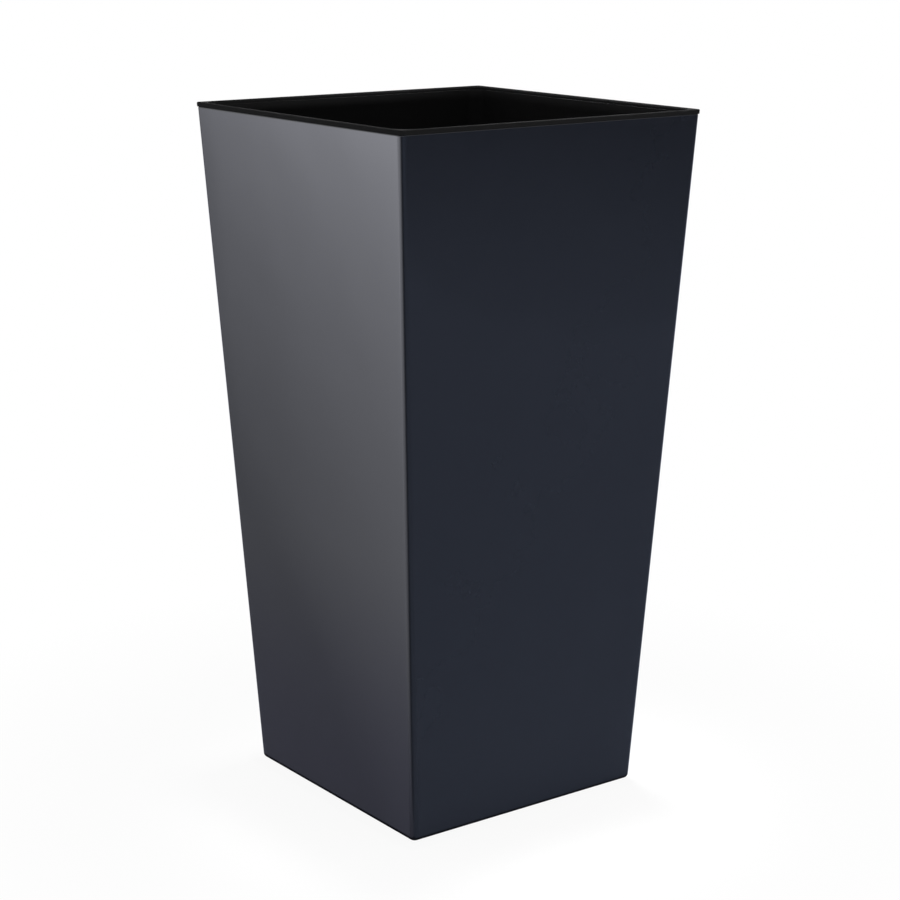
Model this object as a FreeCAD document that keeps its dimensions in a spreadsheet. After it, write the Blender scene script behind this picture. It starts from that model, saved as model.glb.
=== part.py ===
import FreeCAD, Part
import os

import Sketcher

# A tall square planter: a tapered cover pot and the liner that hangs in it by its rim.
# Frame: +Z up, origin on the floor at the middle of the base, lengths in millimetres.

# Driving dimensions: name, value, what it measures
SIZES = [
    # the whole planter
    ("total_height", 625, "floor to the top of the rim"),
    ("rim_width", 320, "outside of the rim, each way"),
    ("base_width", 251, "outside of the pot at the floor, before its edge is rounded"),
    # how the insert fits the pot
    ("rim_overhang", 0.1, "rim beyond the pot's top edge, each side"),
    ("mouth_gap", 1, "insert's wall to the pot's wall at the mouth"),
    ("bottom_gap", 9.5, "insert's wall to the pot's wall at the insert's floor"),
    # outer pot
    ("pot_wall", 2.4, "thickness of the four walls"),
    ("pot_floor", 3, "thickness of the floor"),
    ("pot_corner", 3.4, "inner radius of the upright corners"),
    ("pot_lip_radius", 1, "rounding of the top edge, outside"),
    ("pot_base_radius", 4.6, "rounding of the bottom edge, outside"),
    ("cavity_radius", 1.2, "rounding between walls and floor, inside"),
    ("ring_width", 14, "flat ring that the pot stands on"),
    ("recess_height", 5, "raised middle of the floor above the ring"),
    ("recess_draft", 4, "lean of the recess's sides, in degrees"),
    ("recess_corner", 12, "corner radius of the recess"),
    ("rib_width", 2.2, "ribs under the raised floor"),
    ("rib_depth", 3, "ribs under the raised floor"),
    ("gate_radius", 12, "boss where the ribs cross"),
    ("knockout_radius", 9, "ring that marks a drain hole to be opened outdoors"),
    ("knockout_groove", 1.6, "width of that ring"),
    ("knockout_depth", 1.4, "depth of that ring"),
    # insert
    ("rim_height", 4, "outer face of the rim"),
    ("rim_taper", 0.25, "how far the rim's outer face leans in at its foot"),
    ("rim_corner", 3.2, "outer corners of the rim"),
    ("rim_edge_radius", 0.6, "rounding of the rim's top edges"),
    ("collar_height", 3.4, "upright collar inside the rim"),
    ("ledge_step", 1.1, "ledge under the collar, measured inwards"),
    ("ledge_radius", 0.7, "rounding of that ledge's edge"),
    ("mouth_corner", 16, "corner radius of the mouth"),
    ("insert_wall", 2, "thickness of the bucket's walls"),
    ("insert_floor", 2.4, "thickness of the bucket's floor"),
    ("insert_depth", 306, "seat of the rim to the underside of the floor"),
    ("insert_edge_radius", 10, "rounding between walls and floor, outside"),
    ("insert_bowl_radius", 8, "rounding between walls and floor, inside"),
    ("drain_radius", 4.5, "drain holes"),
    ("foot_length", 60, "moulded feet under the floor"),
    ("foot_width", 4, "moulded feet under the floor"),
    ("foot_height", 5, "moulded feet under the floor"),
    # places and limits as shares of what carries them
    ("knockout_place_share", 0.52, "of half the recess, from the middle"),
    ("drain_place_share", 0.52, "of half the insert's floor, from the middle"),
    ("foot_place_share", 0.8, "of half the insert's floor, from the middle"),
    ("rounding_limit_share", 0.8, "largest rounding, of the corner that it runs round"),
    # cuts
    ("cut_overrun", 5, "how far a cut runs past the face that it opens"),
]

QUARTERS = 4
FULL_TURN = 360
UP = FreeCAD.Vector(0, 0, 1)
SAME_LEVEL = 1e-4

# How sketches number the points of an edge, their own axes and their origin
START, END, CENTRE = range(1, 4)
SKETCH_X_AXIS, SKETCH_Y_AXIS = range(-1, -3, -1)
SKETCH_ORIGIN = (SKETCH_X_AXIS, START)

# Sizes that follow from the driving ones, as expressions on the sheet
POT_HEIGHT = "(Sizes.total_height - Sizes.rim_height)"
POT_TOP = "(Sizes.rim_width - 2 * Sizes.rim_overhang)"
POT_CORNER = "(Sizes.pot_corner + Sizes.pot_wall)"
RECESS_WIDTH = "(Sizes.base_width - 2 * Sizes.ring_width)"
RECESS_RUN = "(-Sizes.recess_height * tan(Sizes.recess_draft))"
RAISED_CORNER = "(Sizes.recess_corner + Sizes.pot_floor)"
RIM_ROUNDING = "min(Sizes.rim_edge_radius; Sizes.rounding_limit_share * Sizes.rim_corner)"
INSERT_MOUTH = f"({POT_TOP} - 2 * Sizes.pot_wall - 2 * Sizes.mouth_gap)"
MOUTH_WIDTH = f"({INSERT_MOUTH} - 2 * Sizes.insert_wall + 2 * Sizes.ledge_step)"
LEDGE_CORNER = "(Sizes.mouth_corner - Sizes.ledge_step)"
INSERT_CORNER = f"({LEDGE_CORNER} + Sizes.insert_wall)"


def pot_width(level):
    """Outside of the pot at a height above the floor."""
    return f"(Sizes.base_width + ({POT_TOP} - Sizes.base_width) * {level} / {POT_HEIGHT})"


def cavity_width(level):
    """Inside of the pot at a height above the floor."""
    return f"({pot_width(level)} - 2 * Sizes.pot_wall)"


INSERT_BASE = f"({cavity_width(f'({POT_HEIGHT} - Sizes.insert_depth)')} - 2 * Sizes.bottom_gap)"


def bowl_width(level):
    """Inside of the bucket at a height from the seat of its rim."""
    spread = f"({INSERT_MOUTH} - {INSERT_BASE}) * {level} / Sizes.insert_depth"
    return f"({INSERT_MOUTH} + {spread} - 2 * Sizes.insert_wall)"


def limited(radius, corner):
    """A rounding that runs round a corner stays smaller than the corner's own radius."""
    return f"min({radius}; Sizes.rounding_limit_share * {corner})"


def value(expression):
    """What an expression on the sheet comes to."""
    return float(FreeCAD.ActiveDocument.Sizes.evalExpression(expression))


def size_sheet(doc):
    """The spreadsheet of driving dimensions."""
    sheet = doc.addObject("Spreadsheet::Sheet", "Sizes")
    for row, (name, size, meaning) in enumerate(SIZES, start=1):
        sheet.set(f"A{row}", meaning)
        sheet.set(f"B{row}", str(size))
        sheet.setAlias(f"B{row}", name)
    doc.recompute()


def new_body(doc, label):
    body = doc.addObject("PartDesign::Body", label)
    body.Label = label
    return body


def flat_sketch(body, name, level):
    """An empty sketch, parallel to the floor, at a height in the body's own frame."""
    planes = [part for part in body.Origin.OriginFeatures if part.Role == "XY_Plane"]
    sketch = body.newObject("Sketcher::SketchObject", name)
    sketch.AttachmentSupport = [(planes[0], "")]
    sketch.MapMode = "FlatFace"
    sketch.setExpression("AttachmentOffset.Base.z", level)
    return sketch


def relate(sketch, kind, *items):
    sketch.addConstraint(Sketcher.Constraint(kind, *items))


def measure(sketch, name, expression, kind, *items):
    """Add a dimension to a sketch and tie it to the sheet."""
    index = sketch.addConstraint(Sketcher.Constraint(kind, *items, value(expression)))
    sketch.renameConstraint(index, name)
    sketch.setExpression(f"Constraints.{name}", expression)


def add_outline(sketch, corners):
    """Straight edges from corner to corner, closed."""
    edges = []
    for corner, following in zip(corners, corners[1:] + corners[:1]):
        edges.append(sketch.addGeometry(Part.LineSegment(corner, following)))
    for edge, following in zip(edges, edges[1:] + edges[:1]):
        relate(sketch, "Coincident", edge, END, following, START)
    return edges


def square(body, name, level, width):
    """Sketch a square about the Z axis."""
    sketch = flat_sketch(body, name, level)
    half = value(width) / 2
    front, right, back, left = add_outline(sketch, [
        FreeCAD.Vector(-half, -half, 0),
        FreeCAD.Vector(half, -half, 0),
        FreeCAD.Vector(half, half, 0),
        FreeCAD.Vector(-half, half, 0),
    ])
    relate(sketch, "Symmetric", front, START, front, END, SKETCH_Y_AXIS)
    relate(sketch, "Symmetric", right, START, right, END, SKETCH_X_AXIS)
    relate(sketch, "Horizontal", back)
    relate(sketch, "Vertical", left)
    relate(sketch, "Equal", front, right)
    measure(sketch, "width", width, "DistanceX", front, START, front, END)
    return sketch


def bar(body, name, level, inner_end, outer_end, width):
    """Sketch a bar that runs out along X from the Z axis."""
    sketch = flat_sketch(body, name, level)
    low, high, half = value(inner_end), value(outer_end), value(width) / 2
    near, outer, far, inner = add_outline(sketch, [
        FreeCAD.Vector(low, -half, 0),
        FreeCAD.Vector(high, -half, 0),
        FreeCAD.Vector(high, half, 0),
        FreeCAD.Vector(low, half, 0),
    ])
    relate(sketch, "Symmetric", outer, START, outer, END, SKETCH_X_AXIS)
    relate(sketch, "Horizontal", near)
    relate(sketch, "Horizontal", far)
    relate(sketch, "Vertical", inner)
    measure(sketch, "inner_end", inner_end, "DistanceX", *SKETCH_ORIGIN, near, START)
    measure(sketch, "outer_end", outer_end, "DistanceX", *SKETCH_ORIGIN, near, END)
    measure(sketch, "width", width, "DistanceY", outer, START, outer, END)
    return sketch


def add_circle(sketch, name, x, y, radius):
    """A circle in a sketch, placed from the Z axis."""
    centre = FreeCAD.Vector(value(x), value(y), 0)
    circle = sketch.addGeometry(Part.Circle(centre, UP, value(radius)))
    measure(sketch, f"{name}_x", x, "DistanceX", *SKETCH_ORIGIN, circle, CENTRE)
    measure(sketch, f"{name}_y", y, "DistanceY", *SKETCH_ORIGIN, circle, CENTRE)
    measure(sketch, f"{name}_radius", radius, "Radius", circle)


def must_change(before, after, grows):
    """A feature that adds or cuts nothing is a mistake in its direction."""
    change = after.Shape.Volume - before.Shape.Volume
    if (change > 0) != grows:
        raise RuntimeError(f"{after.Name} changed the volume by {change:.1f}")


def extrude(body, kind, name, sketch, length, upwards):
    """Pad or pocket a sketch up or down from its own level."""
    before = body.Tip
    feature = body.newObject(f"PartDesign::{kind}", name)
    feature.Profile = sketch
    feature.setExpression("Length", length)
    feature.Reversed = upwards == (kind == "Pocket")
    body.Document.recompute()
    if before:
        must_change(before, feature, grows=kind == "Pad")
    return feature


def within(shapes, low, high, reach):
    """Numbers, from 1, of the faces or edges between two heights, no further out than the reach."""
    found = []
    for number, shape in enumerate(shapes, start=1):
        box = shape.BoundBox
        spans = max(abs(box.ZMin - low), abs(box.ZMax - high)) < SAME_LEVEL
        if spans and max(box.XMax, -box.XMin, box.YMax, -box.YMin) < reach + SAME_LEVEL:
            found.append(number)
    return found


def draft(body, name, level, top, width, run):
    """Lean upright walls out by a run between two heights, or in where the run is negative."""
    base = body.Tip
    faces = base.Shape.Faces
    solid_grows = (value(run) > 0) == base.isDerivedFrom("PartDesign::Pad")
    still = within(faces, value(level), value(level), value(POT_TOP))[0]
    walls = within(faces, value(level), value(top), value(width) / 2)
    feature = body.newObject("PartDesign::Draft", name)
    feature.Base = (base, [f"Face{number}" for number in walls])
    feature.NeutralPlane = (base, [f"Face{still}"])
    feature.Reversed = solid_grows == (faces[still - 1].Surface.Axis.z > 0)
    feature.setExpression("Angle", f"atan(abs({run}) / ({top} - {level}))")
    body.Document.recompute()


def block(body, name, level, top, width, run):
    """A square block, as wide as given at its foot, with walls that lean by a run."""
    outline = square(body, f"{name}_outline", level, width)
    extrude(body, "Pad", name, outline, f"{top} - {level}", upwards=True)
    draft(body, f"{name}_draft", level, top, width, run)


def hollow(body, name, level, top, width, run, overrun):
    """A square hollow, cut upwards from its floor, with walls that lean by a run."""
    outline = square(body, f"{name}_outline", level, width)
    extrude(body, "Pocket", name, outline, f"{top} - {level} + {overrun}", upwards=True)
    draft(body, f"{name}_draft", level, top, width, run)


def four_ways(body, name, feature):
    """Repeat a feature about the Z axis, once for each side."""
    pattern = body.newObject("PartDesign::PolarPattern", name)
    pattern.Originals = [feature]
    pattern.Axis = (feature.Profile[0], ["N_Axis"])
    pattern.Angle = FULL_TURN
    pattern.Occurrences = QUARTERS
    body.Tip = pattern
    body.Document.recompute()


def rounding(body, name, low, high, width, radius):
    """Round the edges of an outline of some width: level ones, or uprights between two heights."""
    base = body.Tip
    feature = body.newObject("PartDesign::Fillet", name)
    edges = within(base.Shape.Edges, value(low), value(high), value(width) / 2)
    feature.Base = (base, [f"Edge{number}" for number in edges])
    feature.setExpression("Radius", radius)
    body.Document.recompute()


def outer_pot(doc):
    """The cover pot: drafted walls, rounded edges and a raised floor with a standing ring."""
    body = new_body(doc, "outer_pot")

    # drafted block with its outer edges rounded
    block(body, "pot", "0", POT_HEIGHT, "Sizes.base_width", f"({POT_TOP} - Sizes.base_width) / 2")
    rounding(body, "pot_corners", "0", POT_HEIGHT, POT_TOP, POT_CORNER)
    rounding(body, "pot_lip", POT_HEIGHT, POT_HEIGHT, POT_TOP, limited("Sizes.pot_lip_radius", POT_CORNER))
    rounding(body, "pot_base_edge", "0", "0", POT_TOP, limited("Sizes.pot_base_radius", POT_CORNER))

    # inside, parallel to the outer walls
    cavity_base = cavity_width("Sizes.pot_floor")
    hollow(body, "cavity", "Sizes.pot_floor", POT_HEIGHT, cavity_base,
           f"({cavity_width(POT_HEIGHT)} - {cavity_base}) / 2", "Sizes.cut_overrun")
    rounding(body, "cavity_corners", "Sizes.pot_floor", POT_HEIGHT, POT_TOP, "Sizes.pot_corner")
    rounding(body, "cavity_edge", "Sizes.pot_floor", "Sizes.pot_floor", POT_TOP,
             limited("Sizes.cavity_radius", "Sizes.pot_corner"))

    # raised middle of the floor, of the floor's own thickness
    raised = "(Sizes.recess_height + Sizes.pot_floor)"
    block(body, "plateau", "Sizes.pot_floor", raised, f"({RECESS_WIDTH} + 2 * Sizes.pot_floor)",
          RECESS_RUN)
    hollow(body, "recess", "0", "Sizes.recess_height", RECESS_WIDTH, RECESS_RUN, "0")
    rounding(body, "recess_corners", "0", "Sizes.recess_height", RECESS_WIDTH, "Sizes.recess_corner")
    rounding(body, "plateau_corners", "Sizes.pot_floor", raised, POT_TOP, RAISED_CORNER)

    # ribs that cross under the raised floor, and the boss in their middle
    rib = bar(body, "rib_outline", "Sizes.recess_height", "0", f"{RECESS_WIDTH} / 2", "Sizes.rib_width")
    four_ways(body, "ribs", extrude(body, "Pad", "rib", rib, "Sizes.rib_depth", upwards=False))
    boss = flat_sketch(body, "boss_outline", "Sizes.recess_height")
    add_circle(boss, "boss", "0", "0", "Sizes.gate_radius")
    extrude(body, "Pad", "gate_boss", boss, "Sizes.rib_depth", upwards=False)

    # ring grooves where drain holes can be opened
    groove = flat_sketch(body, "knockout_outline", "Sizes.recess_height")
    place = f"{RECESS_WIDTH} / 2 * Sizes.knockout_place_share"
    add_circle(groove, "outer", place, place, "Sizes.knockout_radius")
    add_circle(groove, "inner", place, place, "Sizes.knockout_radius - Sizes.knockout_groove")
    cut = extrude(body, "Pocket", "knockout", groove, "Sizes.knockout_depth", upwards=True)
    four_ways(body, "knockouts", cut)
    return body


def insert(doc):
    """The liner, modelled from the seat of its rim: rim, collar, ledge, bucket, drain holes, feet."""
    body = new_body(doc, "insert")
    underside = "(-Sizes.insert_depth)"
    bowl_floor = "(Sizes.insert_floor - Sizes.insert_depth)"
    rim_top = "Sizes.rim_height"
    ledge = "(Sizes.rim_height - Sizes.collar_height)"

    # bucket block under a rim with small corner radii
    block(body, "bucket", underside, "0", INSERT_BASE, f"({INSERT_MOUTH} - {INSERT_BASE}) / 2")
    block(body, "rim", "0", rim_top, "(Sizes.rim_width - 2 * Sizes.rim_taper)", "Sizes.rim_taper")
    rounding(body, "rim_corners", "0", rim_top, "Sizes.rim_width", "Sizes.rim_corner")
    rounding(body, "rim_edge", rim_top, rim_top, "Sizes.rim_width", RIM_ROUNDING)

    # drafted walls of even thickness, rounded inside and then outside
    hollow(body, "bowl", bowl_floor, rim_top, bowl_width(bowl_floor),
           f"({bowl_width(rim_top)} - {bowl_width(bowl_floor)}) / 2", "Sizes.cut_overrun")
    rounding(body, "bowl_corners", bowl_floor, rim_top, MOUTH_WIDTH, LEDGE_CORNER)
    rounding(body, "bowl_edge", bowl_floor, bowl_floor, MOUTH_WIDTH,
             limited("Sizes.insert_bowl_radius", LEDGE_CORNER))
    rounding(body, "bucket_corners", underside, "0", INSERT_MOUTH, INSERT_CORNER)
    rounding(body, "bucket_edge", underside, underside, INSERT_MOUTH,
             limited("Sizes.insert_edge_radius", INSERT_CORNER))

    # upright collar above a small ledge
    extrude(body, "Pocket", "collar", square(body, "collar_outline", ledge, MOUTH_WIDTH),
            "Sizes.collar_height + Sizes.cut_overrun", upwards=True)
    rounding(body, "collar_corners", ledge, rim_top, MOUTH_WIDTH, "Sizes.mouth_corner")
    rounding(body, "ledge_edge", ledge, ledge, bowl_width(ledge),
             limited("Sizes.ledge_radius", "Sizes.ledge_step"))
    rounding(body, "mouth_edge", rim_top, rim_top, MOUTH_WIDTH, RIM_ROUNDING)

    # drain holes: one in the middle, the rest in a square round it
    through = "(Sizes.insert_floor + Sizes.cut_overrun)"
    place = f"{INSERT_BASE} / 2 * Sizes.drain_place_share"
    middle = flat_sketch(body, "middle_drain_outline", bowl_floor)
    add_circle(middle, "drain", "0", "0", "Sizes.drain_radius")
    extrude(body, "Pocket", "middle_drain", middle, through, upwards=False)
    outer = flat_sketch(body, "drain_outline", bowl_floor)
    add_circle(outer, "side", place, "0", "Sizes.drain_radius")
    add_circle(outer, "corner", place, place, "Sizes.drain_radius")
    four_ways(body, "drains", extrude(body, "Pocket", "drain", outer, through, upwards=False))

    # feet that keep the drain holes clear when the insert stands by itself
    reach = f"{INSERT_BASE} / 2 * Sizes.foot_place_share"
    foot = bar(body, "foot_outline", underside, f"{reach} - Sizes.foot_width", reach, "Sizes.foot_length")
    four_ways(body, "feet", extrude(body, "Pad", "foot", foot, "Sizes.foot_height", upwards=False))

    # the rim's seat lies on the pot's top edge
    body.setExpression("Placement.Base.z", POT_HEIGHT)
    return body


def check(doc, bodies):
    """Stop before anything is written if a feature failed or a piece isn't one sound solid."""
    for item in doc.Objects:
        if "Invalid" in item.State or "Error" in item.State:
            raise RuntimeError(f"{item.Name} failed: {item.State}")
    for body in bodies:
        if body.Shape.isNull() or not body.Shape.isValid() or len(body.Shape.Solids) != 1:
            raise RuntimeError(f"{body.Label} is not one valid solid")


def main():
    doc = FreeCAD.newDocument("SquarePlanter")
    size_sheet(doc)
    bodies = [outer_pot(doc), insert(doc)]
    doc.recompute()
    check(doc, bodies)
    os.makedirs("parts", exist_ok=True)
    for body in bodies:
        body.Shape.exportStep(f"parts/{body.Label}.step")
        box = body.Shape.optimalBoundingBox()
        print(f"{body.Label}: {box.XLength:.2f} x {box.YLength:.2f} x {box.ZLength:.2f} mm, "
              f"z {box.ZMin:.2f} to {box.ZMax:.2f}, {body.Shape.Volume / 1e3:.1f} cm3")


main()
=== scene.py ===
"""Looks for a tall square planter: a glossy tapered cover pot and the black liner that hangs in it."""

import math

import bmesh
import bpy
from mathutils import Matrix, Vector


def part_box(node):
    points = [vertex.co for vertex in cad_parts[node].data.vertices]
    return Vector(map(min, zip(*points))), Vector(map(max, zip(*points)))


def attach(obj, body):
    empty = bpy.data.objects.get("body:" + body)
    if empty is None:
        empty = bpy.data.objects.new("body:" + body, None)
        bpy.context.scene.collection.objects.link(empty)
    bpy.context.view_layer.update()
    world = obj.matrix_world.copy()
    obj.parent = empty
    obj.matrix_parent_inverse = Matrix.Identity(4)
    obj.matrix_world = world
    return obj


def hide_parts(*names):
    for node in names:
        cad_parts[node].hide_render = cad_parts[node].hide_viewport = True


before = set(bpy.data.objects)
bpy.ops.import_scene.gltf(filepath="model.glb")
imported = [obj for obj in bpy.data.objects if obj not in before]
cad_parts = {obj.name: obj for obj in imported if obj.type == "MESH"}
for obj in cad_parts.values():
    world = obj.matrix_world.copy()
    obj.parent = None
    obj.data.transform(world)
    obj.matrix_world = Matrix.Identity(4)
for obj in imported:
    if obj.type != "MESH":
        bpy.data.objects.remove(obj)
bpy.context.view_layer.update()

# Sizes in metres, as the solids have them
MM = 0.001
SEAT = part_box("outer_pot")[1].z
LINER_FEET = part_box("insert")[0].z
RIM_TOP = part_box("insert")[1].z

RIM_HALF = 160 * MM
POT_TOP_HALF = 159.9 * MM
POT_BASE_HALF = 125.5 * MM
POT_WALL = 2.4 * MM
POT_FLOOR = 3 * MM
POT_CORNER = 5.8 * MM
POT_LIP = 1 * MM
POT_BASE_EDGE = 4.6 * MM
CAVITY_CORNER = 3.4 * MM
CAVITY_EDGE = 1.2 * MM
RING_WIDTH = 14 * MM
RECESS_HEIGHT = 5 * MM
RECESS_LEAN = 0.35 * MM
RECESS_CORNER = 12 * MM
PLATEAU_INNER_CORNER = 3 * MM
RIB_DEPTH = 3 * MM
BOSS_RADIUS = 12.6 * MM
BOSS_SIDES = 36
KNOCKOUT_PLACE = 57.98 * MM
KNOCKOUT_RADIUS = 9 * MM
KNOCKOUT_GROOVE = 1.6 * MM
KNOCKOUT_DEPTH = 1.4 * MM

RIM_TAPER = 0.25 * MM
RIM_CORNER = 3.2 * MM
MOUTH_HALF = 155.6 * MM
MOUTH_CORNER = 16 * MM
COLLAR_HEIGHT = 3.4 * MM
LEDGE_HALF = 154.55 * MM
LEDGE_CORNER = 14.9 * MM
LINER_TOP_HALF = 156.5 * MM
LINER_BASE_HALF = 131.05 * MM
LINER_WALL = 2 * MM
LINER_DEPTH = 306 * MM
LINER_FLOOR = 2.4 * MM
LINER_EDGE = 10 * MM
BOWL_HALF = 129.25 * MM
BOWL_EDGE = 8 * MM
DRAIN_RADIUS = 4.5 * MM
DRAIN_PITCH = 68.15 * MM
FOOT_PLACE = 102.84 * MM
FOOT_SIZE = (4 * MM, 60 * MM, 5 * MM)

# Finer than the solids have them: softened edges and the mark that the mould's gate leaves
RECESS_EDGE = 0.6 * MM
POT_INNER_LIP = 0.4 * MM
PLATEAU_EDGE = 0.8 * MM
RIB_EDGE = 0.4 * MM
KNOCKOUT_LEAN = 0.2 * MM
GATE_RADIUS = 1.6 * MM
GATE_HEIGHT = 0.5 * MM
GATE_SHOULDER_SHARE = 0.6
GATE_TIP_SHARE = 0.8
RIM_FOOT_EDGE = 0.25 * MM
RIM_EDGE = 1 * MM
MOUTH_EDGE = 1.8 * MM
COLLAR_EDGE = 0.3 * MM
LEDGE_EDGE = 0.25 * MM
DRAIN_EDGE = 0.5 * MM
DRAIN_CURVE_SHARE = 0.3
FOOT_EDGE = 0.45 * MM

# How finely curves are stepped
CORNER_STEPS = 8
ARC_STEPS = 5
SIDE_STEPS = 12
WALL_STEPS = 14
HOLE_SIDES = 32
EDGE_STEPS = 3
SHARP_ANGLE = math.radians(40)
SUNK = 0.5 * MM
HELD_APART = 1.0

# The slight inward bow that long moulded walls take as they cool
POT_BOW = 0.8 * MM
LINER_BOW = 0.5 * MM


# Modelling helpers

def ring(bm, half, corner, level, bow=0.0):
    """A level loop of edges: a square with rounded corners, its sides drawn in by the bow."""
    known = set(bm.faces)
    verts = bmesh.ops.create_grid(bm, x_segments=1, y_segments=1, size=half)["verts"]
    bmesh.ops.translate(bm, verts=verts, vec=(0, 0, level))
    bmesh.ops.bevel(bm, geom=verts, offset=corner, offset_type="OFFSET", affect="VERTICES",
                    segments=CORNER_STEPS, profile=0.5, material=-1)
    face = next(face for face in bm.faces if face not in known)
    sides = [edge for edge in face.edges if edge.calc_length() > half]
    bmesh.ops.subdivide_edges(bm, edges=sides, cuts=SIDE_STEPS - 1)
    face = next(face for face in bm.faces if face not in known)
    for vert in face.verts:
        across, along = (0, 1) if abs(vert.co.x) > abs(vert.co.y) else (1, 0)
        drawn_in = bow * (1 - (vert.co[along] / half) ** 2)
        vert.co[across] -= math.copysign(drawn_in, vert.co[across])
    loop = list(face.edges)
    bmesh.ops.delete(bm, geom=[face], context="FACES_ONLY")
    return loop


def arc(before, at, after, radius):
    """Points along a rounded corner of a profile."""
    to_before = (before - at).normalized()
    to_after = (after - at).normalized()
    half_angle = to_before.angle(to_after) / 2
    centre = at + (to_before + to_after).normalized() * radius / math.sin(half_angle)
    run = radius / math.tan(half_angle)
    first = at + to_before * run - centre
    last = at + to_after * run - centre
    turns = [first.slerp(last, step / ARC_STEPS).normalized() for step in range(ARC_STEPS + 1)]
    return [centre + turn * radius for turn in turns]


def stations(profile):
    """The rings of a moulding: half width, corner radius and level, with rounded profile corners."""
    points = [Vector((half, level)) for half, level, corner, radius in profile]
    found = []
    for index, (half, level, corner, radius) in enumerate(profile):
        if radius:
            for point in arc(points[index - 1], points[index], points[index + 1], radius):
                found.append((point.x, corner + point.x - half, point.y))
        else:
            found.append((half, corner, level))
    return found


def join(bm, loop, following):
    """Bridge two loops, held apart meanwhile so that loops at one level keep their direction."""
    verts = list({vert for edge in following for vert in edge.verts})
    bmesh.ops.translate(bm, verts=verts, vec=(0, 0, HELD_APART))
    bmesh.ops.bridge_loops(bm, edges=loop + following)
    bmesh.ops.translate(bm, verts=verts, vec=(0, 0, -HELD_APART))


def skin(bm, profile, bow):
    """Join rings along a profile into one surface; long walls get steps of their own and the bow."""
    rings = []
    last = None
    for half, corner, level in stations(profile):
        if last and abs(level - last[2]) > LINER_DEPTH / 2:
            for step in range(1, WALL_STEPS):
                share = step / WALL_STEPS
                between = [a + (b - a) * share for a, b in zip(last, (half, corner, level))]
                rings.append(ring(bm, *between, bow=bow * math.sin(math.pi * share)))
        rings.append(ring(bm, half, corner, level))
        last = (half, corner, level)
    for loop, following in zip(rings, rings[1:]):
        join(bm, loop, following)
    return rings[0], rings[-1]


def circle(bm, x, y, level, radius):
    """A level loop of edges: a circle."""
    place = Matrix.Translation((x, y, level))
    verts = bmesh.ops.create_circle(bm, cap_ends=False, segments=HOLE_SIDES, radius=radius,
                                    matrix=place)["verts"]
    return list({edge for vert in verts for edge in vert.link_edges})


def tube(bm, x, y, steps):
    """Join circles at one place into a round wall, from (radius, level) steps."""
    loops = [circle(bm, x, y, level, radius) for radius, level in steps]
    for loop, following in zip(loops, loops[1:]):
        join(bm, loop, following)
    return loops[0], loops[-1]


def fill(bm, *loops):
    """Close a level outline, leaving the other loops open as holes."""
    edges = [edge for loop in loops for edge in loop]
    bmesh.ops.triangle_fill(bm, edges=edges, use_beauty=True, use_dissolve=False)


def soften(bm, edges, width):
    """A small rounded edge."""
    bmesh.ops.bevel(bm, geom=edges, offset=width, offset_type="OFFSET", affect="EDGES",
                    segments=EDGE_STEPS, profile=0.5, material=-1)


def piece(name, bm, material, body, node):
    """Make a piece of the object from a finished bmesh."""
    bmesh.ops.recalc_face_normals(bm, faces=bm.faces)
    mesh = bpy.data.meshes.new(name)
    bm.to_mesh(mesh)
    bm.free()
    mesh.polygons.foreach_set("use_smooth", [True] * len(mesh.polygons))
    mesh.set_sharp_from_angle(angle=SHARP_ANGLE)
    made = bpy.data.objects.new(name, mesh)
    bpy.context.scene.collection.objects.link(made)
    made.data.materials.append(material)
    even = made.modifiers.new("even_shading", "WEIGHTED_NORMAL")
    even.keep_sharp = True
    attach(made, body)
    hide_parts(node)
    return made


# Cover pot

def rib_cross(bm):
    """Ribs that cross under the raised floor, with a round boss and the gate's mark in the middle."""
    turn = Matrix.Rotation(math.pi / BOSS_SIDES, 4, "Z")
    foot = RECESS_HEIGHT - RIB_DEPTH
    level = Matrix.Translation((0, 0, foot))
    made = bmesh.ops.create_circle(bm, cap_ends=True, segments=BOSS_SIDES, radius=BOSS_RADIUS,
                                   matrix=level @ turn)
    boss = made["verts"][0].link_faces[0]
    reach = POT_BASE_HALF - RING_WIDTH + SUNK
    ribs = [boss]
    for edge in list(boss.edges):
        middle = (edge.verts[0].co + edge.verts[1].co) / 2
        if min(abs(middle.x), abs(middle.y)) < SUNK:
            ends = bmesh.ops.extrude_edge_only(bm, edges=[edge])["geom"]
            out = Vector((middle.x, middle.y, 0)).normalized()
            verts = [item for item in ends if isinstance(item, bmesh.types.BMVert)]
            bmesh.ops.translate(bm, verts=verts, vec=out * (reach - middle.xy.length))
            ribs += [item for item in ends if isinstance(item, bmesh.types.BMFace)]
    outline = [edge for edge in {e for face in ribs for e in face.edges} if edge.is_boundary]
    risen = bmesh.ops.extrude_face_region(bm, geom=ribs)["geom"]
    verts = [item for item in risen if isinstance(item, bmesh.types.BMVert)]
    bmesh.ops.translate(bm, verts=verts, vec=(0, 0, RIB_DEPTH + SUNK))
    soften(bm, outline, RIB_EDGE)
    mark = tube(bm, 0, 0, [
        (GATE_RADIUS, foot + SUNK),
        (GATE_RADIUS, foot - GATE_HEIGHT * GATE_SHOULDER_SHARE),
        (GATE_RADIUS * GATE_TIP_SHARE, foot - GATE_HEIGHT),
    ])
    for loop in mark:
        fill(bm, loop)


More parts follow.
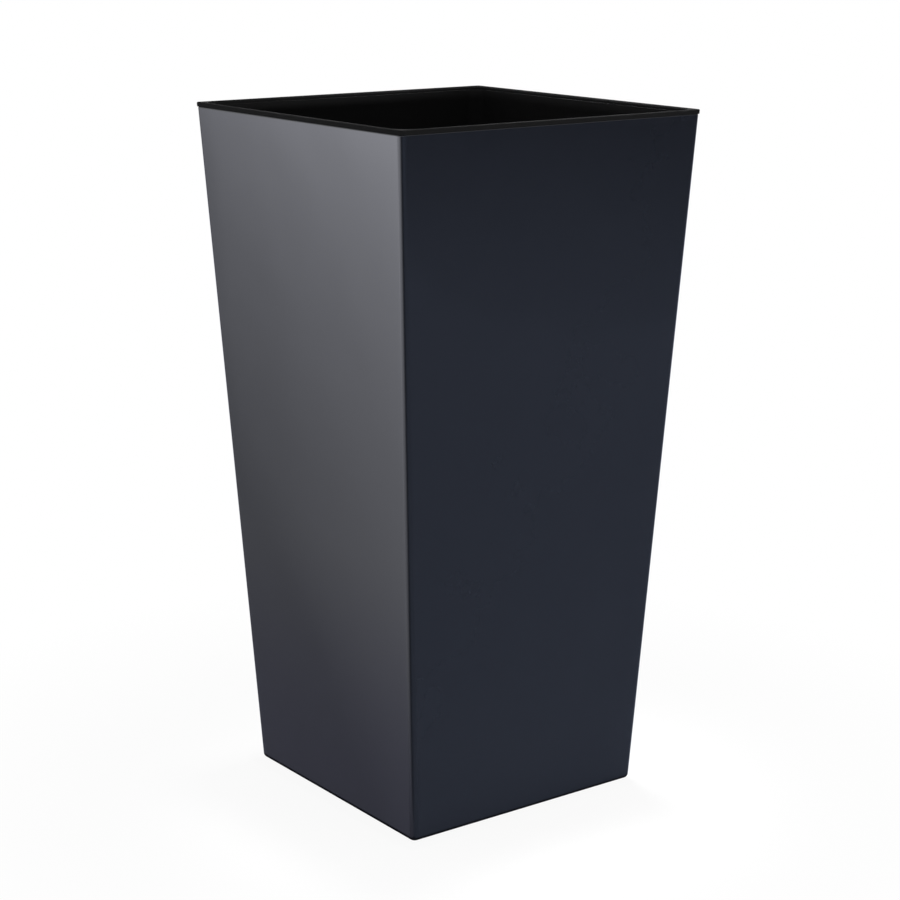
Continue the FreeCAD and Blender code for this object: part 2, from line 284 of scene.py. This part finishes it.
def cover_pot(material):
    """The outer pot: drafted walls, rounded edges and a raised floor with a standing ring."""
    bm = bmesh.new()
    recess_half = POT_BASE_HALF - RING_WIDTH
    plateau_half = recess_half + POT_FLOOR
    raised = RECESS_HEIGHT + POT_FLOOR
    cavity_half = POT_BASE_HALF - POT_WALL + (POT_TOP_HALF - POT_BASE_HALF) * POT_FLOOR / SEAT
    under, inside = skin(bm, [
        (recess_half - RECESS_LEAN, RECESS_HEIGHT, RECESS_CORNER, 0),
        (recess_half, 0, RECESS_CORNER, RECESS_EDGE),
        (POT_BASE_HALF, 0, POT_CORNER, POT_BASE_EDGE),
        (POT_TOP_HALF, SEAT, POT_CORNER, POT_LIP),
        (POT_TOP_HALF - POT_WALL, SEAT, CAVITY_CORNER, POT_INNER_LIP),
        (cavity_half, POT_FLOOR, CAVITY_CORNER, CAVITY_EDGE),
        (plateau_half, POT_FLOOR, RECESS_CORNER + POT_FLOOR, RECESS_EDGE),
        (plateau_half - RECESS_LEAN, raised, RECESS_CORNER + POT_FLOOR, PLATEAU_EDGE),
        (plateau_half - RING_WIDTH, raised, PLATEAU_INNER_CORNER, 0),
    ], POT_BOW)
    fill(bm, inside)
    grooves = []
    deep = RECESS_HEIGHT + KNOCKOUT_DEPTH
    inner = KNOCKOUT_RADIUS - KNOCKOUT_GROOVE
    for x in (-KNOCKOUT_PLACE, KNOCKOUT_PLACE):
        for y in (-KNOCKOUT_PLACE, KNOCKOUT_PLACE):
            edge, plug = tube(bm, x, y, [
                (KNOCKOUT_RADIUS, RECESS_HEIGHT),
                (KNOCKOUT_RADIUS - KNOCKOUT_LEAN, deep),
                (inner + KNOCKOUT_LEAN, deep),
                (inner, RECESS_HEIGHT),
            ])
            fill(bm, plug)
            grooves.append(edge)
    fill(bm, under, *grooves)
    rib_cross(bm)
    return piece("cover_pot", bm, material, "outer_pot", "outer_pot")


# Liner

def foot(bm, turn):
    """A moulded foot under the liner's floor, turned to one of its sides."""
    wide, long, high = FOOT_SIZE
    middle = LINER_FEET + (high + SUNK) / 2
    matrix = (Matrix.Rotation(turn, 4, "Z") @ Matrix.Translation((FOOT_PLACE, 0, middle))
              @ Matrix.Diagonal((wide, long, high + SUNK, 1)))
    verts = bmesh.ops.create_cube(bm, size=1, matrix=matrix)["verts"]
    edges = {edge for vert in verts for edge in vert.link_edges}
    soften(bm, list(edges), FOOT_EDGE)


def liner(material):
    """The liner: square rim, rounded mouth, collar, ledge, drafted bucket, drain holes and feet."""
    bm = bmesh.new()
    underside = SEAT - LINER_DEPTH
    floor = underside + LINER_FLOOR
    ledge = RIM_TOP - COLLAR_HEIGHT
    outer_corner = LEDGE_CORNER + LINER_WALL
    inset = 12 * MM
    under, inside = skin(bm, [
        (LINER_BASE_HALF - inset, underside, outer_corner - inset, 0),
        (LINER_BASE_HALF, underside, outer_corner, LINER_EDGE),
        (LINER_TOP_HALF, SEAT, outer_corner, 0),
        (RIM_HALF - RIM_TAPER, SEAT, RIM_CORNER, RIM_FOOT_EDGE),
        (RIM_HALF, RIM_TOP, RIM_CORNER, RIM_EDGE),
        (MOUTH_HALF, RIM_TOP, MOUTH_CORNER, MOUTH_EDGE),
        (MOUTH_HALF, ledge, MOUTH_CORNER, COLLAR_EDGE),
        (LEDGE_HALF, ledge, LEDGE_CORNER, LEDGE_EDGE),
        (BOWL_HALF, floor, LEDGE_CORNER, BOWL_EDGE),
        (BOWL_HALF - inset, floor, LEDGE_CORNER - inset, 0),
    ], LINER_BOW)
    upper, lower = [], []
    curve = DRAIN_EDGE * DRAIN_CURVE_SHARE
    for x in (-DRAIN_PITCH, 0, DRAIN_PITCH):
        for y in (-DRAIN_PITCH, 0, DRAIN_PITCH):
            top, bottom = tube(bm, x, y, [
                (DRAIN_RADIUS + DRAIN_EDGE, floor),
                (DRAIN_RADIUS + curve, floor - curve),
                (DRAIN_RADIUS, floor - DRAIN_EDGE),
                (DRAIN_RADIUS, underside),
            ])
            upper.append(top)
            lower.append(bottom)
    fill(bm, inside, *upper)
    fill(bm, under, *lower)
    for quarter in range(4):
        foot(bm, quarter * math.pi / 2)
    return piece("liner", bm, material, "insert", "insert")


# Materials

# Colour sockets of a Mix node, by number because the names repeat
MIX_A, MIX_B, MIX_RESULT = 6, 7, 2

# Where the sum of two noises mostly lies
NOISE_SUM = (0.6, 1.4)


def node(tree, kind, inputs=(), **settings):
    """Add a node with its settings and the values of its inputs."""
    made = tree.nodes.new(kind)
    for name, value in settings.items():
        setattr(made, name, value)
    for name, value in dict(inputs).items():
        made.inputs[name].default_value = value
    return made


def moulding_group():
    """Surface of a moulding: fine grain, long waves of the wall, and cloudy patches."""
    tree = bpy.data.node_groups.new("moulding_surface", "ShaderNodeTree")
    face = tree.interface
    for name, value in (("Grain Scale", 900.0), ("Wave Scale", 9.0), ("Patch Scale", 14.0)):
        socket = face.new_socket(name=name, in_out="INPUT", socket_type="NodeSocketFloat")
        socket.default_value = value
    for name in ("Grain", "Waves", "Patches", "Streaks"):
        face.new_socket(name=name, in_out="OUTPUT", socket_type="NodeSocketFloat")
    entry = tree.nodes.new("NodeGroupInput")
    leave = tree.nodes.new("NodeGroupOutput")
    place = tree.nodes.new("ShaderNodeTexCoord")
    for name, scale, detail in (("Grain", "Grain Scale", 2.0), ("Waves", "Wave Scale", 1.0),
                                ("Patches", "Patch Scale", 4.0)):
        noise = node(tree, "ShaderNodeTexNoise", {"Detail": detail, "Roughness": 0.55})
        tree.links.new(place.outputs["Object"], noise.inputs["Vector"])
        tree.links.new(entry.outputs[scale], noise.inputs["Scale"])
        tree.links.new(noise.outputs["Fac"], leave.inputs[name])
    stretch = node(tree, "ShaderNodeMapping", {"Scale": (160.0, 160.0, 3.0)})
    lines = node(tree, "ShaderNodeTexNoise", {"Scale": 1.0, "Detail": 3.0, "Roughness": 0.6})
    tree.links.new(place.outputs["Object"], stretch.inputs["Vector"])
    tree.links.new(stretch.outputs["Vector"], lines.inputs["Vector"])
    tree.links.new(lines.outputs["Fac"], leave.inputs["Streaks"])
    return tree


def plastic(name, group, scales, tones, gloss, bumps, settings):
    """A moulded plastic: two close tones in patches, gloss that varies, and grain over long waves."""
    material = bpy.data.materials.new(name)
    material.use_nodes = True
    tree = material.node_tree
    shader = tree.nodes["Principled BSDF"]
    for socket, value in settings.items():
        shader.inputs[socket].default_value = value
    surface = node(tree, "ShaderNodeGroup", node_tree=group)
    for socket, value in scales.items():
        surface.inputs[socket].default_value = value
    tone = node(tree, "ShaderNodeMix", data_type="RGBA")
    tone.inputs[MIX_A].default_value = (*tones[0], 1)
    tone.inputs[MIX_B].default_value = (*tones[1], 1)
    tree.links.new(surface.outputs["Patches"], tone.inputs["Factor"])
    tree.links.new(tone.outputs[MIX_RESULT], shader.inputs["Base Color"])
    mixed = node(tree, "ShaderNodeMath", operation="ADD")
    tree.links.new(surface.outputs["Patches"], mixed.inputs[0])
    tree.links.new(surface.outputs["Streaks"], mixed.inputs[1])
    spread = node(tree, "ShaderNodeMapRange", {"From Min": NOISE_SUM[0], "From Max": NOISE_SUM[1],
                                               "To Min": gloss[0], "To Max": gloss[1]})
    tree.links.new(mixed.outputs[0], spread.inputs["Value"])
    tree.links.new(spread.outputs["Result"], shader.inputs["Roughness"])
    waves = node(tree, "ShaderNodeBump", {"Strength": 1.0, "Distance": bumps["waves"]})
    grain = node(tree, "ShaderNodeBump", {"Strength": 1.0, "Distance": bumps["grain"]})
    tree.links.new(surface.outputs["Waves"], waves.inputs["Height"])
    tree.links.new(surface.outputs["Grain"], grain.inputs["Height"])
    tree.links.new(waves.outputs["Normal"], grain.inputs["Normal"])
    tree.links.new(grain.outputs["Normal"], shader.inputs["Normal"])
    return material


# Stage

# Places in metres, angles in radians, glow against white
FRONT_CORNER = (0.145, -0.145, 0)
# The cards' glow below is painted light and painted shade for the pot's gloss; this bluish colour is the
# painted shade of the floor by the pot
SHADE_BLUE = (0.585, 0.585, 0.775)
# Dim blue of the right cards: painted shade of the floor on the pot's right
DEEP_SHADE_BLUE = (0.203, 0.241, 0.346)
# The left card: painted light of a lit floor on the pot's left, brighter away from the pot
LEFT_COLOUR = (0.985, 0.995, 1.09)
LEFT_START = -0.0835
LEFT_SLOPE = (1.6, -3.39, 0)
LEFT_LIMITS = (0.46, 3.0)
LEFT_FADE = (-0.2, 0.66)
RIGHT_FADE = (2.08, 2.48)
FOOT_SHADE_REACH = 0.395
CEILING_START = 0.82
CEILING_RISE = 0.95
SHADOW_REACH = (0.17, 0.6)
WHITE_SHARE = (0.93, 1.0)
LOW_CARD = -0.3 * MM
MIDDLE_CARD = -0.2 * MM
HIGH_CARD = -0.1 * MM


def seen_directly(tree):
    """1 for rays from the camera and for those that gloss or glass send on."""
    path = tree.nodes.new("ShaderNodeLightPath")
    first = node(tree, "ShaderNodeMath", operation="MAXIMUM")
    both = node(tree, "ShaderNodeMath", operation="MAXIMUM")
    tree.links.new(path.outputs["Is Camera Ray"], first.inputs[0])
    tree.links.new(path.outputs["Is Glossy Ray"], first.inputs[1])
    tree.links.new(first.outputs[0], both.inputs[0])
    tree.links.new(path.outputs["Is Transmission Ray"], both.inputs[1])
    return both.outputs[0]


def stage_plane(name, corners, material):
    """A flat stage piece with the given corners."""
    bm = bmesh.new()
    bm.faces.new([bm.verts.new(corner) for corner in corners])
    mesh = bpy.data.meshes.new(name)
    bm.to_mesh(mesh)
    bm.free()
    made = bpy.data.objects.new(name, mesh)
    bpy.context.scene.collection.objects.link(made)
    made.data.materials.append(material)
    return made


def level_square(low, high, level):
    """Corners of a level rectangle, counter-clockwise from above."""
    return [(low[0], low[1], level), (high[0], low[1], level), (high[0], high[1], level),
            (low[0], high[1], level)]


def floor_material():
    """Pale floor: white where it is seen, under a faint shadow of the object."""
    material = bpy.data.materials.new("pale_floor")
    material.use_nodes = True
    tree = material.node_tree
    tree.nodes.remove(tree.nodes["Principled BSDF"])
    paper = node(tree, "ShaderNodeBsdfDiffuse", {"Color": (0.8, 0.8, 0.8, 1)})
    white = node(tree, "ShaderNodeEmission", {"Color": (1, 1, 1, 1), "Strength": 1.0})
    place = tree.nodes.new("ShaderNodeTexCoord")
    distance = node(tree, "ShaderNodeVectorMath", operation="LENGTH")
    share = node(tree, "ShaderNodeMapRange", {"From Min": SHADOW_REACH[0], "From Max": SHADOW_REACH[1],
                                              "To Min": WHITE_SHARE[0], "To Max": WHITE_SHARE[1]})
    mixed = node(tree, "ShaderNodeMath", operation="MULTIPLY")
    blend = tree.nodes.new("ShaderNodeMixShader")
    tree.links.new(place.outputs["Object"], distance.inputs[0])
    tree.links.new(distance.outputs["Value"], share.inputs["Value"])
    tree.links.new(share.outputs["Result"], mixed.inputs[0])
    tree.links.new(seen_directly(tree), mixed.inputs[1])
    tree.links.new(mixed.outputs[0], blend.inputs["Fac"])
    tree.links.new(paper.outputs[0], blend.inputs[1])
    tree.links.new(white.outputs[0], blend.inputs[2])
    tree.links.new(blend.outputs[0], tree.nodes["Material Output"].inputs["Surface"])
    return material


def card_material(name, colour, start, slope, limits):
    """A studio card that glows in a straight gradient across it: painted light and shade for the pot's
    gloss.
    """
    material = bpy.data.materials.new(name)
    material.use_nodes = True
    tree = material.node_tree
    tree.nodes.remove(tree.nodes["Principled BSDF"])
    place = tree.nodes.new("ShaderNodeTexCoord")
    along = node(tree, "ShaderNodeVectorMath", operation="DOT_PRODUCT")
    along.inputs[1].default_value = slope
    raised = node(tree, "ShaderNodeMath", operation="ADD")
    raised.inputs[1].default_value = start
    held = node(tree, "ShaderNodeClamp", {"Min": limits[0], "Max": limits[1]})
    glow = node(tree, "ShaderNodeEmission", {"Color": (*colour, 1)})
    tree.links.new(place.outputs["Object"], along.inputs[0])
    tree.links.new(along.outputs["Value"], raised.inputs[0])
    tree.links.new(raised.outputs[0], held.inputs["Value"])
    tree.links.new(held.outputs[0], glow.inputs["Strength"])
    tree.links.new(glow.outputs[0], tree.nodes["Material Output"].inputs["Surface"])
    return material


def fade_round(material, facing, angles):
    """Fade out a card's glow between two angles about the pot's front corner, from -Y or +Y towards +X."""
    tree = material.node_tree
    place = tree.nodes["Texture Coordinate"].outputs["Object"]
    glow = tree.nodes["Emission"].inputs["Strength"]
    apart = node(tree, "ShaderNodeVectorMath", operation="SUBTRACT")
    apart.inputs[1].default_value = FRONT_CORNER
    beside = node(tree, "ShaderNodeSeparateXYZ")
    ahead = node(tree, "ShaderNodeMath", operation="MULTIPLY")
    ahead.inputs[1].default_value = facing
    turn = node(tree, "ShaderNodeMath", operation="ARCTAN2")
    fade = node(tree, "ShaderNodeMapRange", {"From Min": angles[0], "From Max": angles[1],
                                             "To Min": 1.0, "To Max": 0.0},
                interpolation_type="SMOOTHSTEP")
    faded = node(tree, "ShaderNodeMath", operation="MULTIPLY")
    tree.links.new(place, apart.inputs[0])
    tree.links.new(apart.outputs["Vector"], beside.inputs[0])
    tree.links.new(beside.outputs["Y"], ahead.inputs[0])
    tree.links.new(beside.outputs["X"], turn.inputs[0])
    tree.links.new(ahead.outputs[0], turn.inputs[1])
    tree.links.new(turn.outputs[0], fade.inputs["Value"])
    tree.links.new(glow.links[0].from_socket, faded.inputs[0])
    tree.links.new(fade.outputs["Result"], faded.inputs[1])
    tree.links.new(faded.outputs[0], glow)


def left_card_material(near):
    """The left card: painted light for the pot's gloss, with painted shade towards the pot's foot, fading
    out round the pot's front corner.
    """
    material = card_material("left_card", LEFT_COLOUR, LEFT_START, LEFT_SLOPE, LEFT_LIMITS)
    tree = material.node_tree
    glow = tree.nodes["Emission"]
    place = tree.nodes["Texture Coordinate"].outputs["Object"]
    apart = node(tree, "ShaderNodeSeparateXYZ")
    ramp = node(tree, "ShaderNodeMapRange", {"From Min": -near, "From Max": -near - FOOT_SHADE_REACH},
                interpolation_type="SMOOTHSTEP")
    # Painted shade: the glow turns darker and bluer towards the pot's foot
    foot_shade = node(tree, "ShaderNodeMix", data_type="RGBA")
    foot_shade.inputs[MIX_A].default_value = (*SHADE_BLUE, 1)
    foot_shade.inputs[MIX_B].default_value = (*LEFT_COLOUR, 1)
    tree.links.new(place, apart.inputs[0])
    tree.links.new(apart.outputs["Y"], ramp.inputs["Value"])
    tree.links.new(ramp.outputs["Result"], foot_shade.inputs["Factor"])
    tree.links.new(foot_shade.outputs[MIX_RESULT], glow.inputs["Color"])
    # A cap on the glow near the front corner, shaping the painted highlight down the pot's front edge
    from_corner = node(tree, "ShaderNodeVectorMath", operation="DISTANCE")
    from_corner.inputs[1].default_value = FRONT_CORNER
    ceiling = node(tree, "ShaderNodeMath", operation="MULTIPLY_ADD")
    ceiling.inputs[1].default_value = CEILING_RISE
    ceiling.inputs[2].default_value = CEILING_START
    lower = node(tree, "ShaderNodeMath", operation="MINIMUM")
    tree.links.new(place, from_corner.inputs[0])
    tree.links.new(from_corner.outputs["Value"], ceiling.inputs[0])
    tree.links.new(glow.inputs["Strength"].links[0].from_socket, lower.inputs[0])
    tree.links.new(ceiling.outputs[0], lower.inputs[1])
    tree.links.new(lower.outputs[0], glow.inputs["Strength"])
    fade_round(material, -1.0, LEFT_FADE)
    return material


def card(name, corners, material):
    """A studio card that shows only in reflections, as one beside the camera's view would; its glow paints
    light and shade into the pot's gloss.
    """
    made = stage_plane(name, corners, material)
    made.visible_camera = False
    made.visible_diffuse = False
    made.visible_transmission = False
    made.visible_volume_scatter = False
    made.visible_shadow = False
    return made


def softbox(name, place, target, size, power, spread=math.pi):
    """A soft lamp turned to a target; a small spread is that of a honeycomb grid."""
    lamp = bpy.data.lights.new(name, "AREA")
    lamp.shape = "RECTANGLE"
    lamp.size, lamp.size_y = size
    lamp.energy = power
    lamp.spread = spread
    made = bpy.data.objects.new(name, lamp)
    made.location = place
    made.rotation_euler = (Vector(target) - Vector(place)).to_track_quat("-Z", "Y").to_euler()
    made.visible_glossy = False
    bpy.context.scene.collection.objects.link(made)
    return made


def studio():
    """Floor, cards that paint light and shade into the pot's gloss, lamps and the white surroundings."""
    wide = 40.0
    stage_plane("floor", level_square((-wide, -wide), (wide, wide), -0.5 * MM), floor_material())

    near = 0.127
    far = 5.0
    dark = card_material("dark_card", (0.05, 0.05, 0.06), 1.0, (0, 0, 0), (0, 1))
    # The side card: painted light and shade for the gloss of the pot's back sides, dimmer next to the pot
    side = card_material("side_card", SHADE_BLUE, 0.237, (-0.455, 0.455, 0), (0.44, 1.1))
    card("card_side", level_square((-far, -near), (-near, far), LOW_CARD), side)
    left = [(-far, -far), (3.9, -far), (near, -near), (-far, -near)]
    card("card_left", [(x, y, LOW_CARD) for x, y in left], left_card_material(near))
    # The right cards glow dim blue: painted shade in the right face's gloss, and card_right's wavy outline
    # paints the edge of a reflection there
    fading = card_material("right_far_card", DEEP_SHADE_BLUE, 1.656, (-0.344, -0.286, 0), (0, 1))
    fade_round(fading, 1.0, RIGHT_FADE)
    right_far = [(near, -near), (3.9, -far), (far, -far), (far, far), (-near, far), (-near, near),
                 (near, near)]
    card("card_right_far", [(x, y, MIDDLE_CARD) for x, y in right_far], fading)
    right = card_material("right_card", DEEP_SHADE_BLUE, 1.0, (0, 0, 0), (0, 1))
    fade_round(right, 1.0, RIGHT_FADE)
    outline = [(near, -near), (1.58, -2.0), (1.95, -2.0), (1.81, 1.06), (1.75, 1.05), (1.55, 0.985),
               (1.43, 0.977), (1.38, 1.016), (1.275, 1.015), (1.34, 1.15), (1.35, 1.26), (1.3, 1.8),
               (near, 1.8)]
    card("card_right", [(x, y, HIGH_CARD) for x, y in outline], right)
    # A dark wall seen only in the gloss: painted shade over the horizon in the pot's right side
    card("card_right_wall", [(5.0, -1.0, 0), (0.5, 6.0, 0), (0.5, 6.0, 3.0), (5.0, -1.0, 3.0)], dark)
    # Black cards at the pot's foot: the one seen in the gloss paints the dark contact line, and the larger
    # one, seen by diffuse light only, paints shade on the pot's lowest edge
    shade = card_material("contact_shade", (0, 0, 0), 0, (0, 0, 0), (0, 0))
    foot_half, shade_half = 0.1305, 0.137
    card("card_foot", level_square((-foot_half, -foot_half), (foot_half, foot_half), -0.02 * MM), shade)
    shaded = level_square((-shade_half, -shade_half), (shade_half, shade_half), -0.05 * MM)
    contact = card("card_contact", shaded, shade)
    contact.visible_glossy = False
    contact.visible_diffuse = True
    # A white card behind the pot: painted light for the gloss on the far rim
    behind = card_material("back_card", (1, 1, 1), 1.2, (0, 0, 0), (0, 2))
    card("card_back", [(-2.4, 0.2, 0.3), (0.4, 3.4, 0.3), (0.4, 3.4, 1.8), (-2.4, 0.2, 1.8)], behind)

    strip = (2.2, 0.04)
    above_rim = 0.69
    aim = (0, 0, 0.45)
    softbox("left_strip", (-0.5, -2.4, above_rim), aim, strip, 20)
    softbox("right_strip", (2.4, 0.4, above_rim), aim, strip, 28)
    softbox("rear_left_strip", (-2.4, 0.3, above_rim), aim, strip, 26)
    softbox("rear_strip", (0.3, 2.4, above_rim), aim, strip, 26)
    softbox("overhead_grid", (-0.08, 0.16, 2.2), (0.04, 0.04, 0.6), (0.36, 0.36), 1.33,
            spread=math.radians(12))

    world = bpy.data.worlds.new("surroundings")
    bpy.context.scene.world = world
    world.use_nodes = True
    tree = world.node_tree
    lit = tree.nodes["Background"]
    lit.inputs["Color"].default_value = (1, 1, 1, 1)
    lit.inputs["Strength"].default_value = 0.18
    white = node(tree, "ShaderNodeBackground", {"Color": (1, 1, 1, 1), "Strength": 1.0})
    blend = tree.nodes.new("ShaderNodeMixShader")
    tree.links.new(seen_directly(tree), blend.inputs["Fac"])
    tree.links.new(lit.outputs[0], blend.inputs[1])
    tree.links.new(white.outputs[0], blend.inputs[2])
    tree.links.new(blend.outputs[0], tree.nodes["World Output"].inputs["Surface"])


def camera():
    """The camera, at the photograph's viewing angle."""
    azimuth, elevation, roll = (math.radians(angle) for angle in (53.485, 13.991, 0.08))
    distance = 2.0085
    look_height, look_aside = 0.310997, 0.005586
    right = Vector((math.cos(azimuth), math.sin(azimuth), 0))
    target = Vector((0, 0, look_height)) + right * look_aside
    back = Vector((math.sin(azimuth) * math.cos(elevation), -math.cos(azimuth) * math.cos(elevation),
                   math.sin(elevation)))
    up = back.cross(right)
    turned_right = right * math.cos(roll) + up * math.sin(roll)
    turned_up = up * math.cos(roll) - right * math.sin(roll)
    eye = bpy.data.cameras.new("camera")
    eye.sensor_width = 36
    eye.lens = 87.43
    eye.clip_start = 0.05
    eye.clip_end = 200
    made = bpy.data.objects.new("camera", eye)
    place = Matrix((turned_right, turned_up, back)).transposed().to_4x4()
    place.translation = target + back * distance
    made.matrix_world = place
    bpy.context.scene.collection.objects.link(made)
    bpy.context.scene.camera = made


bpy.context.scene.view_settings.view_transform = "Standard"
moulded = moulding_group()
gloss_pot = plastic(
    "gloss_anthracite", moulded,
    {"Grain Scale": 420.0, "Wave Scale": 9.0, "Patch Scale": 16.0},
    [(0.0126, 0.0144, 0.0202), (0.0143, 0.0164, 0.0227)], (0.05, 0.09),
    {"waves": 0.0004, "grain": 0.000003},
    {"Specular IOR Level": 0.5, "IOR": 1.5},
)
matt_liner = plastic(
    "matt_black", moulded,
    {"Grain Scale": 1600.0, "Wave Scale": 12.0, "Patch Scale": 30.0},
    [(0.0115, 0.0115, 0.0118), (0.0135, 0.0135, 0.0138)], (0.56, 0.66),
    {"waves": 0.0002, "grain": 0.00008},
    {"Specular IOR Level": 0.01, "IOR": 1.5},
)
cover_pot(gloss_pot)
liner(matt_liner)
studio()
camera()

bpy.context.view_layer.update()
